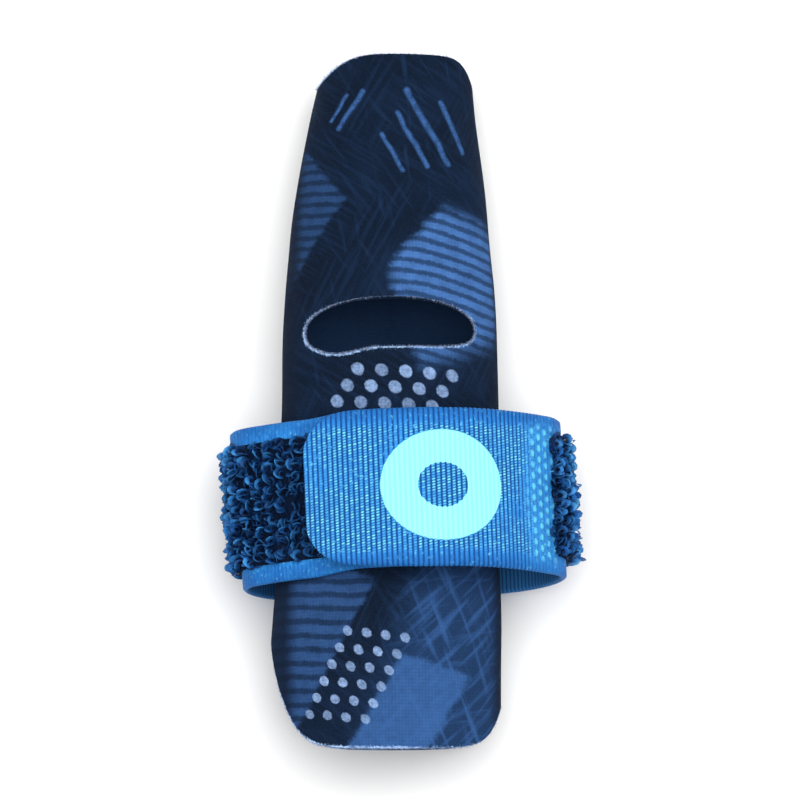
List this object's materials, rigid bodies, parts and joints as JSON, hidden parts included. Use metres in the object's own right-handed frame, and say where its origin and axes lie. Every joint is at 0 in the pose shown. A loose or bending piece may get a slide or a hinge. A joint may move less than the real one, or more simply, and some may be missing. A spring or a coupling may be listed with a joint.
{
  "type": "finger immobilization sleeve",
  "caption": "Tapered foam-backed fabric sleeve that splints a finger, open at both ends with a slot over the knuckle and closed by a hook-and-loop webbing strap.",
  "frame": {"origin": "on the surface the part lies on, at the middle of its extents in X and Y", "axes": "+Y from the base opening towards the fingertip, +Z out of the front with the slot and the tab, +X to the right of the front"},
  "size_m": [0.0448, 0.0886, 0.0253],
  "materials": {
    "printed_fabric": "navy knit with a blue print over foam, matt",
    "blue_webbing": "bright blue ribbed webbing",
    "dark_pile": "dark blue curled loop pile",
    "hook_tape": "dark hook tape, hidden"
  },
  "bodies": {
    "root": {"finger_sleeve": "printed_fabric", "strap_webbing": "blue_webbing", "loop_pile": "dark_pile", "hook_patch": "hook_tape"}
  },
  "joints": []
}
